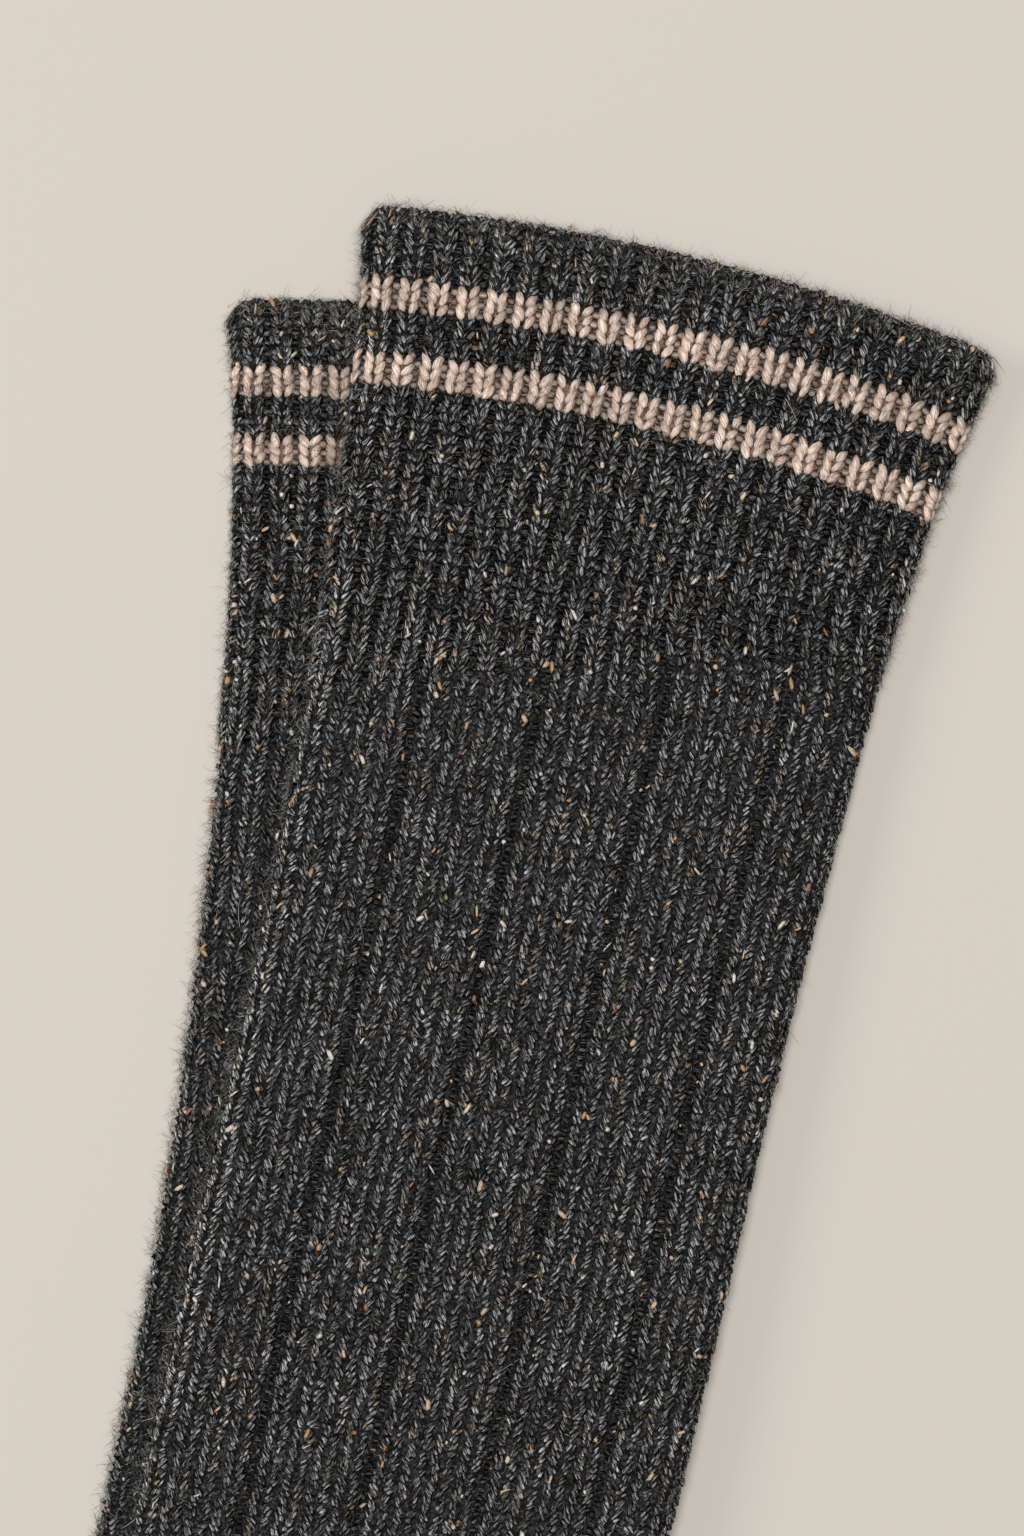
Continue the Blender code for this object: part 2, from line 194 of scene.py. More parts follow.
# a stripe's bumps are dimmer than its arms too, as painted shade
STRIPE_BUMP_TONE = 0.64
RIM_BUMP_GAIN, RIM_BUMP_REACH = 0.35, 7  # how much lighter bumps are at the rim, and how far along
BUMP_TONES = (0.2, 2.5)
BUMP_SIDES = 4
BumpUneven = namedtuple("BumpUneven", "length aside along slant height stripe_tone tone")
BUMP_UNEVEN = BumpUneven(0.12, 0.09, 0.12, 0.2, 0.09, 0.12, 0.35)

# Creases: where each one's middle is along and across the sock, its turn from straight across in
# degrees, how far it reaches along itself and to its sides, how deep it is (a ridge if less than 0) and
# the panel that it is on, 1 for the upper one
Crease = namedtuple("Crease", "along across turn reach side_reach depth panel")
UPPER_CREASES = (
    Crease(43, -31, 12, 8, 1.6, 0.8, 1),
    Crease(47.5, -25, 5, 11, 1.9, -0.65, 1),
    Crease(53, -30, -8, 7, 1.5, 0.8, 1),
    Crease(56.5, -12, 6, 9, 1.8, 0.65, 1),
    Crease(54, 27, 7, 16, 2.0, 0.75, 1),
    Crease(59.5, 30, 9, 12, 2.2, -0.55, 1),
    Crease(96, 14, -6, 12, 2.6, 0.5, 1),
    Crease(129, -22, 4, 10, 2.2, 0.6, 1),
    Crease(156, 18, 3, 20, 1.8, 0.75, 1),
    Crease(160.5, 9, -4, 13, 2.4, -0.5, 1),
    Crease(248, 10, -9, 16, 3.0, 0.5, 1),
    Crease(342, 14, 14, 17, 2.6, 0.7, 1),
    Crease(352, 18, 20, 12, 2.2, 0.6, 1),
    Crease(418, 14, -28, 18, 3.2, 0.8, 1),
    Crease(430, 18, -22, 12, 2.4, 0.6, 1),
    Crease(505, 2, 8, 14, 2.8, 0.4, 1),
    Crease(60, 12, -6, 14, 2.2, 0.5, -1),
    Crease(150, -14, 8, 16, 2.6, 0.4, -1),
    Crease(346, 12, -15, 17, 2.8, 0.6, -1),
    Crease(424, 15, 24, 16, 3.0, 0.7, -1),
)
LOWER_CREASES = (
    Crease(48, -38, -8, 6, 1.6, 0.45, 1),
    Crease(55, -36, 6, 7, 1.8, 0.4, 1),
    Crease(118, -36, 10, 8, 2.4, 0.4, 1),
    Crease(398, -48, 30, 9, 2.6, 0.6, 1),
    Crease(440, -34, -20, 8, 2.6, 0.5, 1),
)
CREASE_FACING = 0.6  # how far a place on a crease's panel faces up, or down, where the crease is whole

# Loose fibres: how many, their length, how steeply they rise, how far they turn, how much their
# headings differ from the column's, their radius, how high they begin and their points
Fibres = namedtuple("Fibres", "count length lift curl spread radius height points")
LYING = Fibres(13500, (0.8, 2.3), (-0.05, 0.25), 1.7, 0.9, (0.022, 0.045), 0.42, 4)
HALO = Fibres(6400, (0.9, 3.6), (0.2, 1.0), 2.4, 1.6, (0.018, 0.036), 0.15, 5)
STRAYS = Fibres(26, (3.5, 7), (0.0, 0.04), 1.2, 1.2, (0.04, 0.06), 0.75, 8)
FIBRE_BEND = 1.3  # how late a fibre rises
FIBRE_WANDER = 0.07  # how unevenly it rises
FIBRE_SIDES = 3
FIBRE_TAPER = 0.6  # its radius at its end, of that at its root
RIM_FUZZ, RIM_FUZZ_REACH = 3.0, 8  # how many more of them lie near the rim, and how far along
FOLD_FACING = (-0.3, 0.55)  # how far up a place faces on a fold, where the halo grows
HALO_ELSEWHERE = 0.02  # part of it that grows on the panels
HALO_ROWS = 1  # and it grows on the rim, above this row
ROOT_ROW = -1  # the first row over the rim's roll that fibres and neps are on
STRAY_FACING = 0.9  # strays lie where the cloth faces up more than this
FAR_FIBRES, FAR_FADE = 0.1, 60  # part of them that is left past DETAIL_END, and how far on
ROOT_REACH = (0.5, 0.7)  # how far a root lies from its stitch, in needles and along

# Neps: short plump tufts of light fibre. Sizes go up from the least by more, and few are large
Skewed = namedtuple("Skewed", "least more power")
FLECKS = 720
FAR_FLECKS = 0.5  # part of them that is left past DETAIL_END
FLECK_HALF_LENGTH, FLECK_RADIUS = Skewed(0.3, 0.95, 2.2), Skewed(0.13, 0.26, 1.6)
FLECK_LEAN, FLECK_LEAN_SPREAD = 0.4, 0.35  # from the column's line, in radians
FLECK_BEND = 0.22
FLECK_STEPS = (-1, -0.4, 0.4, 1)
FLECK_RISE, FLECK_RISE_SPREAD = 0.62, 0.06  # its middle's height
FLECK_SINK = 0.3  # how far its ends go down
FLECK_FLAT = 0.8  # its thickness, of its width
FLECK_TONES = (0.55, 1.15)
FLECK_SIDES = 5

# Painted light: the upper sock's left fold is painted lighter, a painted highlight for light from the left,
# and the lower sock is painted darker where it comes out from under it, a painted shadow
PAINTED_HIGHLIGHT_GAIN, PAINTED_HIGHLIGHT_MIDDLE, PAINTED_HIGHLIGHT_REACH, PAINTED_HIGHLIGHT_FACING = 0.6, 1.9, 1.7, -0.3
SHADED_LOSS, SHADED_REACH = 0.55, 2.6

# The shell, by its points in a round and its rows over the rim's roll, along the outside and inside
SHELL_SINK = 0.35  # it lies this much under the solid's crest, and the stitches cover it
SHELL_ROUND = NEEDLES
SHELL_RIM = (np.pi, 2.4, 1.7, 0.9)  # angles over the rim's roll
SHELL_LEG = 72  # where its rows become wider, below the change of rib
CUFF_STEP, LEG_STEP, TOE_ROWS, INNER_ROWS = 1.4, 7.5, 14, 40
INNER_END = 8  # how far before the toe seam the inside ends
SHELL_OUTSIDE = (
    *np.arange(RIM_RADIUS, SHELL_LEG, CUFF_STEP),
    *np.arange(SHELL_LEG, RIB_END_TOE[1], LEG_STEP),
    *np.linspace(RIB_END_TOE[1], LENGTH, TOE_ROWS),
)
SHELL_INSIDE = np.linspace(LENGTH - INNER_END, RIM_RADIUS * 2, INNER_ROWS)

# Spindles, in the bake and in their painted shading
CELL_MARGIN = 0.08  # left free round each one's cell in the bake
TIP_CROWN = 0.4  # how far its two points count as its crown, which is 1 on top and 0 at its flanks; it drives painted shade on the flanks and a painted highlight on top
SEEDS = 200  # seeds are spread over this much
TINY = 1e-6

# Colours, by the noise or the number that picks them
CHARCOAL_STOPS = (
    (0.38, (0.003, 0.0028, 0.0027)),
    (0.45, (0.016, 0.0153, 0.0147)),
    (0.50, (0.045, 0.0433, 0.0422)),
    (0.55, (0.118, 0.1145, 0.113)),
    (0.61, (0.30, 0.295, 0.2925)),
)
CHARCOAL_HUES = ((0.0, (1, 1, 1)), (0.95, (1.2, 1.0, 0.78)), (0.985, (1.7, 1.25, 0.9)))
STRIPE_STOPS = (
    (0.33, (0.31, 0.215, 0.165)),
    (0.45, (0.52, 0.385, 0.31)),
    (0.55, (0.70, 0.55, 0.46)),
    (0.66, (0.84, 0.74, 0.66)),
)
STRIPE_HUES = ((0.0, (1, 1, 1)),)
UNDER_STOPS = ((0.42, (0.008, 0.008, 0.008)), (0.56, (0.035, 0.035, 0.036)), (0.68, (0.11, 0.11, 0.112)))
# the wall beneath a stripe is a darker copy of the stripe's colour: painted shade in the gaps between its V's
UNDER_STRIPE_STOPS = ((0.38, (0.05, 0.03, 0.022)), (0.5, (0.2, 0.13, 0.095)), (0.65, (0.4, 0.28, 0.21)))
FIBRE_STOPS = (
    (0.0, (0.012, 0.012, 0.012)),
    (0.45, (0.09, 0.09, 0.091)),
    (0.8, (0.34, 0.338, 0.332)),
    (1.0, (0.68, 0.67, 0.65)),
)
FIBRE_HUES = ((0.0, (1.0, 1.0, 1.0)), (0.88, (1.5, 1.05, 0.7)), (0.95, (1.9, 1.6, 1.25)))
FLECK_HUES = (
    (0.0, (0.44, 0.22, 0.11)),
    (0.1, (0.62, 0.38, 0.22)),
    (0.32, (0.78, 0.57, 0.40)),
    (0.68, (0.90, 0.76, 0.62)),
    (0.9, (0.95, 0.93, 0.90)),
)
FLECK_STOPS = ((0.35, (0.5, 0.45, 0.4)), (0.6, (1.0, 1.0, 1.0)))
FLOOR_COLOUR = (0.69, 0.64, 0.577)

# Spun wool: the width and length of its streaks, how far they turn round the yarn in its own length, the
# height of its relief, how much one part of the cloth is lighter than the next, and the tone of a strand's
# flanks, which is painted shade
Wool = namedtuple("Wool", "streak_width streak_length twist relief patchy flank")
CHARCOAL, STRIPE = Wool(0.27, 1.0, 0.3, 0.1, 1.5, 0.15), Wool(0.2, 1.4, 0.3, 0.08, 0.5, 0.9)
LOW, CREST = -0.25, 0.5  # heights over the crest of the ribs at which yarn is darkest and lightest: painted shade where it dives under, painted highlight on top
LOW_TONE, CREST_TONE = 0.38, 1.17
CROWN = 0.6  # how far up a strand's side its tone is full; lower on its flanks it has painted shade
CROWN_GAIN = 0.6  # how much lighter that is than usual, of what its flanks lack: a painted highlight along its top
PATCHES, MOTTLE, GRAIN = 170, 1800, 5000  # scales of the noise over the cloth, its wall and its neps
MOTTLE_RELIEF = 0.3

# Picture: the plan point in its middle, from the upper sock's rim, and its height on the cloth
PICTURE_MIDDLE = (-27.469, -79.012)
PICTURE_TALL = 237.04
CAMERA_HEIGHT = 1300  # over the cloth
CLOTH_TOP = 8
SENSOR = 36
CLIP = (0.01, 20)  # in metres
PLAN_STEP = 2.0  # between the rows that the box of both socks is taken from

# The stage, in metres
FLOOR_REACH = 4
FLOOR_DROP = 0.0001
# A round soft light: its place from the picture's middle, its diameter and its power
Light = namedtuple("Light", "name place diameter watts")
LIGHTS = (Light("overhead", (-0.05, 0.08, 2.4), 1.0, 45.3), Light("left", (-1.36, 0.39, 1.2), 0.88, 7.7))
LIGHT_COLOUR = (1.0, 0.995, 0.985)
FILL = 0.1


def smooth_step(low, high, value):
    t = np.clip((np.asarray(value, float) - low) / (high - low), 0, 1)
    return t * t * (3 - 2 * t)


def every_pair(first, second):
    """Every pair of the two lists, as two flat arrays."""
    return (grid.ravel() for grid in np.meshgrid(first, second, indexing="ij"))


def smooth_through(places, values, at):
    """A curve through the table's values, with no overshoot at a turn."""
    places, values, at = (np.asarray(x, float) for x in (places, values, at))
    steps, rises = np.diff(places), np.diff(values)
    slopes = rises / steps
    inner = np.where(
        slopes[1:] * slopes[:-1] > 0,
        2 * slopes[1:] * slopes[:-1] / np.where(slopes[1:] + slopes[:-1] == 0, 1, slopes[1:] + slopes[:-1]),
        0,
    )
    bends = np.concatenate([slopes[:1], inner, slopes[-1:]])
    k = np.clip(np.searchsorted(places, at, side="right") - 1, 0, len(steps) - 1)
    h, t = steps[k], (at - places[k]) / steps[k]
    return (
        values[k] * (1 + 2 * t) * (1 - t) ** 2
        + bends[k] * h * t * (1 - t) ** 2
        + values[k + 1] * t * t * (3 - 2 * t)
        + bends[k + 1] * h * t * t * (t - 1)
    )


PLACES = np.arange(LENGTH + 1)  # every millimetre along a sock
SECTION_CURVES = {
    c: smooth_through([s.along for s in SECTIONS], [getattr(s, c) for s in SECTIONS], PLACES)
    for c in ("back", "front", "rise")
}


def of_section(column, along):
    """A size of the sock's sections, at places along it."""
    return np.interp(along, PLACES, SECTION_CURVES[column])


def round_length(along):
    """The length of a whole round of the flattened tube."""
    panel = of_section("back", along) + of_section("front", along) - THICK
    return 2 * panel + np.pi * THICK


class Lie:
    """Where a sock lies: its middle line on the surface, and the way across it."""

    AT_ONCE = 4000  # points, so that the table of distances stays small

    def __init__(self, start, turns, cuff_scale=1.0):
        self.cuff_scale = cuff_scale
        heading = np.radians(smooth_through([t.along for t in turns], [t.heading for t in turns], PLACES))
        self.down = np.stack([-np.sin(heading), -np.cos(heading)], 1)
        self.across = np.stack([np.cos(heading), -np.sin(heading)], 1)
        steps = (self.down[1:] + self.down[:-1]) / 2
        self.middle = np.array(start) + np.concatenate([[[0, 0]], np.cumsum(steps, 0)])

    def row(self, along):
        """Where a row of the pattern lies on this sock, which may have shorter rows over its cuff."""
        end = RIB_CHANGE[1]
        over_cuff = np.where(along < end, along, end * (LENGTH - along) / (LENGTH - end))
        return along + (self.cuff_scale - 1) * over_cuff

    def place(self, along, x):
        """The point x to the front of the middle of a row, on the row's arc."""
        middle, down, across = (
            np.stack([np.interp(along, PLACES, pair[:, i]) for i in (0, 1)], -1)
            for pair in (self.middle, self.down, self.across)
        )
        past = row_drop(along, x) + np.minimum(along, 0)
        return middle + across * x[..., None] + down * past[..., None]

    def outside(self, points):
        """How far each point lies outside the flattened sock, or less than 0 inside it."""
        if len(points) > self.AT_ONCE:
            parts = np.array_split(points, len(points) // self.AT_ONCE + 1)
            return np.concatenate([self.outside(part) for part in parts])
        away = points[:, None, :] - self.middle[None, :, :]
        nearest = (away**2).sum(2).argmin(1)
        away = points - self.middle[nearest]
        along = nearest + (away * self.down[nearest]).sum(1)
        x = (away * self.across[nearest]).sum(1)
        held = np.clip(along, 0, LENGTH)
        side = np.where(x < 0, -x - of_section("back", held), x - of_section("front", held))
        end = np.maximum(row_drop(held, x) - along, along - LENGTH)
        both = np.hypot(np.maximum(side, 0), np.maximum(end, 0))
        return np.where(both > 0, both, np.maximum(side, end))


def row_drop(along, x):
    """How far along the sock a point of a row lies past the row's middle."""
    back, front, rise = (of_section(c, along) for c in ("back", "front", "rise"))
    share = (x - (front - back) / 2) / ((front + back) / 2)
    corner = np.clip((np.abs(share) - 1 + CORNER_SPAN) / CORNER_SPAN, 0, CORNER_END) ** 2
    return rise * share**2 + RIM_CORNER * corner * np.exp(-np.maximum(along, 0) / CORNER_REACH)


def ring_shape(along, shares):
    """Points of the flattened tube's section, and the way out of it, at shares of its round."""
    back, front, radius = of_section("back", along), of_section("front", along), THICK / 2
    fold, panel = np.pi * radius / 2, back + front - 2 * radius
    away = shares % 1 * (4 * fold + 2 * panel)
    before = [0 * panel, fold + 0 * panel, fold + panel, 3 * fold + panel, 3 * fold + 2 * panel]
    part = sum((away >= stop).astype(int) for stop in before[1:])
    past = away - np.choose(part, before)
    bend = past / radius
    flat = np.zeros_like(past)
    up, heel, shin = np.pi / 2, radius - back, front - radius
    angle = np.choose(part, [np.pi - bend, flat + up, up - bend, flat - up, -up - bend])
    foot = np.choose(part, [heel, heel + past, shin, shin - past, heel])
    out = np.stack([np.cos(angle), np.sin(angle)], -1)
    return np.stack([foot, flat + radius], -1) + radius * out, out


def column_widths(repeat, knits, purl_width):
    purl = np.arange(NEEDLES) % repeat >= knits
    knit_width = (repeat - (repeat - knits) * purl_width) / knits
    return np.where(purl, purl_width, knit_width), purl


def leg_part(along):
    """For the needles of one round, 0 in the cuff's rib and 1 in the leg's."""
    to_front = 1 - 2 * np.abs(1 - 2 * np.arange(NEEDLES) / NEEDLES)
    return smooth_step(*RIB_CHANGE, along - RIB_CHANGE_SKEW * to_front * of_section("front", along))


def ribbed_part(along, x):
    """1 where the knitting is ribbed, 0 on the plain heel, sole and toe."""
    sole = smooth_step(*RIB_END_HEEL, along) * (1 - smooth_step(*SOLE_EDGE, x))
    return (1 - sole) * (1 - smooth_step(*RIB_END_TOE, along))


def knit_round(along):
    """For the needles of one round: the share at the middle of each column, how deep it lies below
    the crest of the ribs, whether it is purled, and how far it is one of the leg's ribbed columns."""
    leg = leg_part(along)
    cuff_width, cuff_purl = column_widths(CUFF_REPEAT, CUFF_KNITS, CUFF_PURL_WIDTH)
    leg_width, leg_purl = column_widths(LEG_REPEAT, LEG_KNITS, LEG_PURL_WIDTH)
    width = cuff_width * (1 - leg) + leg_width * leg
    start = UPPER_MIDDLE + (LEG_PHASE - LEG_KNITS / 2) / NEEDLES - LEG_REPEAT / NEEDLES * RIBS_BEFORE
    middle = (np.cumsum(width) - width / 2) / width.sum() + start
    middle = middle + leg * FACE_STRETCH / (2 * np.pi) * np.sin(2 * np.pi * (middle - UPPER_MIDDLE))
    ribbed = ribbed_part(along, ring_shape(along, middle)[0][:, 0])
    even = (np.arange(NEEDLES) + 0.5) / NEEDLES + start
    depth = np.where(cuff_purl, CUFF_DEPTH, 0) * (1 - leg) + np.where(leg_purl, LEG_DEPTH, 0) * leg
    purl = np.where(leg > 0.5, leg_purl, cuff_purl) & (ribbed > 0.5)
    at_rim = RIM_RELIEF + (1 - RIM_RELIEF) * smooth_step(0, RIM_RADIUS, along)
    return middle * ribbed + even * (1 - ribbed), depth * ribbed * at_rim, purl, leg * ribbed * ~leg_purl


def between(table, along, column):
    """The table's value in a column, between its rows a millimetre apart."""
    at = np.clip(along, 0, LENGTH - TINY)
    row = at.astype(int)
    return table[row, column] * (row + 1 - at) + table[row + 1, column] * (at - row)


class Cloth:
    """A sock's outer surface, on which stitches and fibres are laid."""

    shift = np.zeros(2)  # from the upper sock's rim to the row's own origin

    def __init__(self, lie, flat_below, ground, creases):
        self.lie, self.flat_below, self.ground, self.creases = lie, flat_below, ground, creases
        rounds = [knit_round(float(place)) for place in PLACES]
        self.middles, self.depths, self.purls, self.columned = (np.array(column) for column in zip(*rounds))

    def share(self, needle, along):
        low = np.floor(needle).astype(int)
        first, second = (between(self.middles, along, k % NEEDLES) + k // NEEDLES for k in (low, low + 1))
        return first + (second - first) * (needle - low)

    def width(self, needle, along):
        """The width of a needle's column."""
        return (self.share(needle + 0.5, along) - self.share(needle - 0.5, along)) * round_length(along)

    def depth(self, needle, along):
        """How deep a place lies below the crest of the ribs."""
        low = np.floor(needle).astype(int)
        first, second = (between(self.depths, along, k % NEEDLES) for k in (low, low + 1))
        edge = np.where(second > first, GROOVE_EDGE, 1 - GROOVE_EDGE)
        part = smooth_step(edge - GROOVE_SLOPE, edge + GROOVE_SLOPE, needle - low)
        depth = first + (second - first) * part
        off = np.abs(((needle + 0.5) % LEG_REPEAT + COLUMN / 2) % COLUMN - COLUMN / 2)
        valley = between(self.columned, along, low % NEEDLES) * np.exp(-((off / VALLEY_REACH) ** 2))
        return depth + VALLEY * valley

    def creased(self, along, x, facing):
        """How deep each place lies in the creases."""
        deep = np.zeros_like(x)
        for crease in self.creases:
            turn = np.radians(crease.turn)
            aside, past = x - crease.across, along - crease.along
            on = (aside * np.cos(turn) + past * np.sin(turn)) / crease.reach
            off = (past * np.cos(turn) - aside * np.sin(turn)) / crease.side_reach
            on_panel = smooth_step(0, CREASE_FACING, facing * crease.panel)
            deep += crease.depth * np.exp(-(on**2) - off**2) * on_panel
        return deep

    def lay(self, needle, share, along, height):
        """The points at these places, in metres in the row's frame."""
        held = np.clip(along, 0, LENGTH)
        section, out = ring_shape(held, share)
        depth = self.depth(needle, along)
        if self.flat_below:
            depth = depth * smooth_step(*FLAT_BELOW, out[..., 1])
        raised = height - depth - self.creased(held, section[..., 0], out[..., 1])
        over = np.clip((RIM_RADIUS - along) / RIM_RADIUS, 0, np.pi)
        reach = RIM_RADIUS + raised
        place = np.where(over > 0, RIM_RADIUS - reach * np.sin(over), along)
        out_by = np.where(over > 0, reach * np.cos(over) - RIM_RADIUS, raised)
        past = np.clip(along - (LENGTH - TOE_RADIUS), 0, TOE_RADIUS)
        out_by = out_by - (TOE_RADIUS - np.sqrt(TOE_RADIUS**2 - past**2))
        section = section + out * out_by[..., None]
        plan = self.lie.place(self.lie.row(place), section[..., 0])
        level = section[..., 1] + self.ground(place, section[..., 0])
        return np.concatenate([plan + self.shift, np.maximum(level, FLOOR_ROOM)[..., None]], -1) * MM


def level_surface(along, x):
    return np.zeros_like(x)


class OnSock:
    """The height of what lies under the upper sock, from a table over its plan."""

    STEP = 2.0  # between the table's places
    REACH = 70  # how far it goes to each side
    LAST = 1.001  # keeps a place before the table's last one

    def __init__(self, lie, below):
        alongs = np.arange(0, LENGTH + self.STEP, self.STEP)
        xs = np.arange(-self.REACH, self.REACH + self.STEP, self.STEP)
        along, x = every_pair(alongs, xs)
        outside = below.outside(lie.place(along, x))
        drop = (THICK + CLEAR) * (1 - SAG * smooth_step(*SAG_REACH, outside))
        self.table = drop.reshape(len(alongs), len(xs))

    def __call__(self, along, x):
        i = np.clip(along / self.STEP, 0, self.table.shape[0] - self.LAST)
        j = np.clip((x + self.REACH) / self.STEP, 0, self.table.shape[1] - self.LAST)
        a, b = i.astype(int), j.astype(int)
        i, j = i - a, j - b
        near = self.table[a, b] * (1 - j) + self.table[a, b + 1] * j
        far = self.table[a + 1, b] * (1 - j) + self.table[a + 1, b + 1] * j
        return near * (1 - i) + far * i


def add_object(name, mesh, materials):
    for material in materials:
        mesh.materials.append(material)
    made = bpy.data.objects.new(name, mesh)
    bpy.context.scene.collection.objects.link(made)
    return made


def mesh_of(name, points, corners, starts):
    """A smooth mesh from its points, the point at each corner of its faces, and where each face starts."""
    mesh = bpy.data.meshes.new(name)
    mesh.vertices.add(len(points))
    mesh.vertices.foreach_set("co", points.astype(np.float32).ravel())
    mesh.loops.add(len(corners))
    mesh.loops.foreach_set("vertex_index", corners.astype(np.int32))
    mesh.polygons.add(len(starts))
    mesh.polygons.foreach_set("loop_start", starts.astype(np.int32))
    mesh.update(calc_edges=True)
    mesh.shade_smooth()
    return mesh


def set_uv(mesh, name, values):
    layer = mesh.uv_layers.new(name=name, do_init=False)
    layer.data.foreach_set("uv", values.astype(np.float32).ravel())


def set_numbers(mesh, name, values):
    mesh.attributes.new(name, "FLOAT", "POINT").data.foreach_set("value", values.astype(np.float32))


def spindle_faces(rings, sides):
    """For one spindle with a point at each end: its faces' corners as (point, share round, share along)."""
    faces = []
    last = 1 + rings * sides
    for j in range(sides):
        k = (j + 1) % sides
        middle = (j + 0.5) / sides
        left, right = j / sides, (j + 1) / sides
        near, far = 1 / (rings + 1), rings / (rings + 1)
        faces.append([(0, middle, 0), (1 + k, right, near), (1 + j, left, near)])
        for r in range(rings - 1):
            a, b = 1 + r * sides, 1 + (r + 1) * sides
            low, high = (r + 1) / (rings + 1), (r + 2) / (rings + 1)
            faces.append([(a + j, left, low), (a + k, right, low), (b + k, right, high), (b + j, left, high)])
        a = 1 + (rings - 1) * sides
        faces.append([(last, middle, 1), (a + j, left, far), (a + k, right, far)])
    return faces


def spindles(name, cloth, roots, paths, half_widths, half_heights, sides, numbers):
    """A joined mesh of closed spindles laid on a cloth. A root is (needle, share, along) for each one.
    A path is its points from the root: across, up the sock and out. numbers are kept on its points."""
    count, steps = paths.shape[:2]
    rings = steps - 2
    tangent = paths[:, 2:] - paths[:, :-2]
    tangent /= np.linalg.norm(tangent, axis=2, keepdims=True)
    wide = np.cross([0, 0, 1], tangent)
    wide /= np.maximum(np.linalg.norm(wide, axis=2, keepdims=True), TINY)
    high = np.cross(tangent, wide)
    turn = np.pi / 2 + 2 * np.pi * np.arange(sides) / sides
    ring = paths[:, 1:-1, None] + (
        (wide * half_widths[..., None])[:, :, None] * np.cos(turn)[:, None]
        + (high * half_heights[..., None])[:, :, None] * np.sin(turn)[:, None]
    )
    local = np.concatenate([paths[:, :1], ring.reshape(count, rings * sides, 3), paths[:, -1:]], 1)
    needle, share, along = (part[:, None] for part in roots)
    across, up, out = local[..., 0], local[..., 1], local[..., 2]
    points = cloth.lay(
        needle + across / cloth.width(needle, along), share + across / round_length(along), along - up, out
    ).reshape(-1, 3)

    faces = spindle_faces(rings, sides)
    per_spindle = rings * sides + 2
    template = np.array([corner for face in faces for corner in face])
    sizes = np.array([len(face) for face in faces])
    corners = (template[:, 0][None] + per_spindle * np.arange(count)[:, None]).ravel()
    starts = ((np.cumsum(sizes) - sizes)[None] + sizes.sum() * np.arange(count)[:, None]).ravel()
    mesh = mesh_of(name, points, corners, starts)

    length = np.linalg.norm(np.diff(paths, axis=1), axis=2).sum(1)
    girth = np.pi * (half_widths.max(1) + half_heights.max(1))
    u, v = template[:, 1][None], template[:, 2][None]
    side, inner = int(np.ceil(np.sqrt(count))), 1 - 2 * CELL_MARGIN
    cell = np.arange(count)[:, None]
    bake_u = (cell % side + CELL_MARGIN + inner * u) / side
    bake_v = (cell // side + CELL_MARGIN + inner * v) / side
    set_uv(mesh, "OFBake", np.stack([bake_u, bake_v], -1))
    set_uv(mesh, "Yarn", np.stack([u * girth[:, None], v * length[:, None]], -1))
    for key, values in numbers.items():
        set_numbers(mesh, key, np.repeat(values, per_spindle))
    set_numbers(mesh, "height", out.ravel())
    # the crown number drives painted shade on a strand's flanks and a painted highlight on its top
    tips = np.full((count, 1), TIP_CROWN)
    crown = np.broadcast_to(np.maximum(np.sin(turn), 0), (count, rings, sides)).reshape(count, -1)
    set_numbers(mesh, "crown", np.concatenate([tips, crown, tips], 1).ravel())
    return mesh


def stitch_places(cloth, rng):
    """Every stitch of a sock: its row, needle, place along the sock, share of the round, whether it is
    purled, how far it is in the leg's rib, how far it lies aside, and whether it is in a stripe."""
    cuff = FIRST_ROW + CUFF_ROW * (np.arange(-RIM_ROWS, CUFF_ROWS) + 0.5)
    cuff_end = FIRST_ROW + CUFF_ROW * CUFF_ROWS
    leg = np.arange(cuff_end + LEG_ROW / 2, LENGTH - TOE_RADIUS / 2, LEG_ROW)
    rows = np.arange(-RIM_ROWS, CUFF_ROWS + len(leg))
    row, needle = every_pair(rows, np.arange(NEEDLES))
    along = np.concatenate([cuff, leg])[row + RIM_ROWS]
    purl = between(cloth.purls.astype(float), along, needle) > 0.5
    leg = between(np.array([leg_part(float(place)) for place in PLACES]), along, needle)
    kept = (leg < 0.5) | purl | (needle % LEG_REPEAT % COLUMN == 0)
    centre = needle + np.where(purl & (leg > 0.5), 0, (COLUMN - 1) / 2 * leg)
    phases = rng.uniform(0, 2 * np.pi, (len(DRIFT_WAVES), NEEDLES))[:, needle]
    waves = sum(wave.share * np.sin(wave.turn * row + phase) for wave, phase in zip(DRIFT_WAVES, phases))
    stitches = {"row": row, "needle": centre, "along": along, "share": cloth.share(centre, along)}
    stitches |= {"purl": purl, "leg": leg, "drift": DRIFT * waves, "striped": np.isin(row, STRIPE_ROWS)}
    return chosen(stitches, kept)


def chosen(stitches, keep):
    return {key: values[keep] for key, values in stitches.items()}


